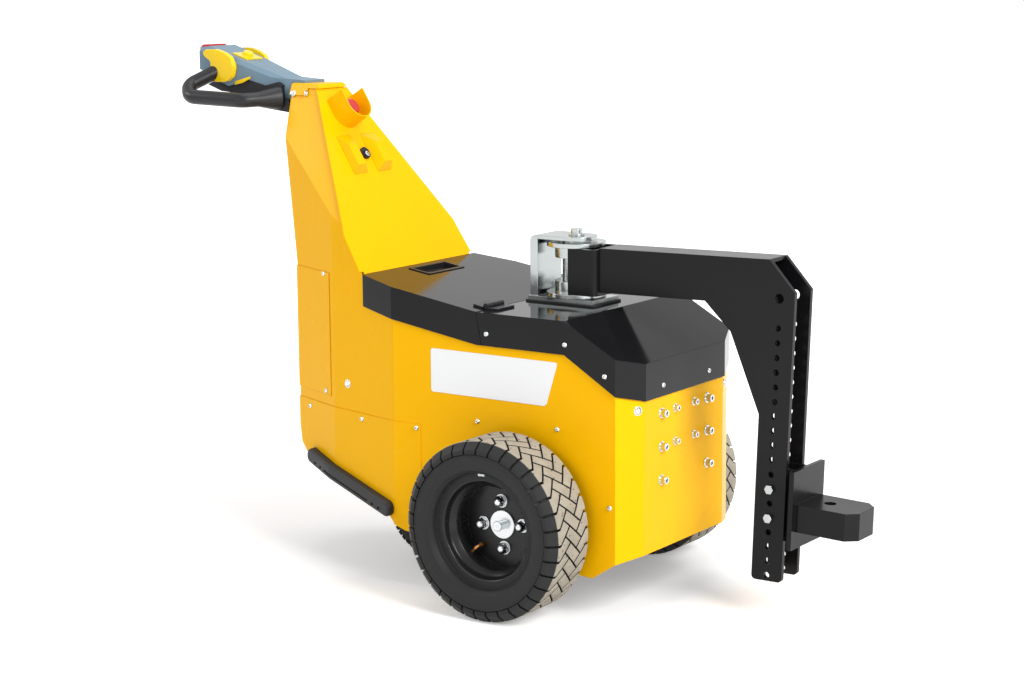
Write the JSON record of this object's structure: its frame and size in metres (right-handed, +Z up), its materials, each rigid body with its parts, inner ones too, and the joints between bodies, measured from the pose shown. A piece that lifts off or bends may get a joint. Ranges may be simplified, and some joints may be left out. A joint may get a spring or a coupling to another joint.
{
  "type": "electric tow tractor",
  "caption": "Walk-behind battery tug with a folded sheet body, hinged battery lid, side drive wheels, rear castor and a swivelling gooseneck tow arm with an adjustable pin hitch.",
  "frame": {"origin": "centre of the overall box at floor level", "axes": "+X forwards to the tow arm, +Y left, +Z up"},
  "size_m": [1.72, 0.748, 1.129],
  "materials": {
    "yellow_paint": "gloss",
    "black_paint": "gloss",
    "dark_steel": "satin",
    "cast_housing": "rough",
    "zinc_steel": "satin",
    "black_rubber": "matte",
    "tyre_rubber": "matte",
    "grey_plastic": "satin",
    "black_plastic": "satin",
    "yellow_plastic": "gloss",
    "red_plastic": "gloss"
  },
  "bodies": {
    "chassis": {"front_panel": "yellow_paint", "tower_front": "yellow_paint", "back_panel": "yellow_paint", "tower_cap": "yellow_paint", "front_cover": "black_paint", "battery_tray": "dark_steel", "battery": "black_plastic", "drive_unit": "cast_housing", "bulkhead": "dark_steel", "pivot_post": "dark_steel", "pivot_bracket": "zinc_steel", "pivot_edging": "black_rubber", "kingpin": "zinc_steel", "castor_plate": "zinc_steel", "bumper_back": "black_rubber", "handle_head": "grey_plastic", "handle_fairing": "black_plastic", "rear_cover": "yellow_paint", "rear_skirt": "yellow_paint", "cover_hinges": "black_plastic", "stop_guard": "yellow_paint", "stop_button": "red_plastic", "key_switch": "black_plastic", "switch_guards": "yellow_paint", "safety_button": "red_plastic", "thumb_levers": "yellow_plastic", "lift_rocker": "yellow_plastic", "side_panel_left": "yellow_paint", "tower_side_left": "yellow_paint", "frame_rail_left": "dark_steel", "bumper_left": "black_rubber", "handle_loop_left": "black_plastic", "side_panel_right": "yellow_paint", "tower_side_right": "yellow_paint", "frame_rail_right": "dark_steel", "bumper_right": "black_rubber", "handle_loop_right": "black_plastic"},
    "lid": {"battery_lid": "black_paint", "finger_pull": "black_plastic", "lid_hinges": "black_plastic"},
    "arm": {"hub_flange_lower": "zinc_steel", "hub_flange_upper": "zinc_steel", "arm_neck": "black_paint", "arm_plate_left": "black_paint", "arm_plate_right": "black_paint", "arm_box": "black_paint", "tow_hitch": "black_paint", "hitch_bolts": "zinc_steel"},
    "wheel_left": {"drive_tyre_left": "tyre_rubber", "drive_rim_left": "black_paint", "wheel_hub_left": "zinc_steel"},
    "wheel_right": {"drive_tyre_right": "tyre_rubber", "drive_rim_right": "black_paint", "wheel_hub_right": "zinc_steel"},
    "castor": {"castor_fork": "zinc_steel"},
    "castor_wheel": {"castor_rim": "zinc_steel", "castor_tyre": "tyre_rubber"}
  },
  "joints": [
    {"name": "left_wheel_spin", "type": "hinge", "parent": "chassis", "child": "wheel_left", "pos_m": [0.17598, 0.305, 0.187], "axis": [0, 1, 0], "continuous": true},
    {"name": "right_wheel_spin", "type": "hinge", "parent": "chassis", "child": "wheel_right", "pos_m": [0.17598, -0.305, 0.187], "axis": [0, 1, 0], "continuous": true},
    {"name": "castor_swivel", "type": "hinge", "parent": "chassis", "child": "castor", "pos_m": [-0.14902, 0, 0.25], "axis": [0, 0, 1], "continuous": true},
    {"name": "castor_spin", "type": "hinge", "parent": "castor", "child": "castor_wheel", "pos_m": [-0.19902, 0, 0.125], "axis": [0, 1, 0], "continuous": true},
    {"name": "lid_hinge", "type": "hinge", "parent": "chassis", "child": "lid", "pos_m": [0.07398, 0, 0.618], "axis": [0, 1, 0], "range_deg": [0, 75]},
    {"name": "arm_swivel", "type": "hinge", "parent": "chassis", "child": "arm", "pos_m": [0.17098, 0, 0.623], "axis": [0, 0, 1], "range_deg": [-90, 90]}
  ]
}
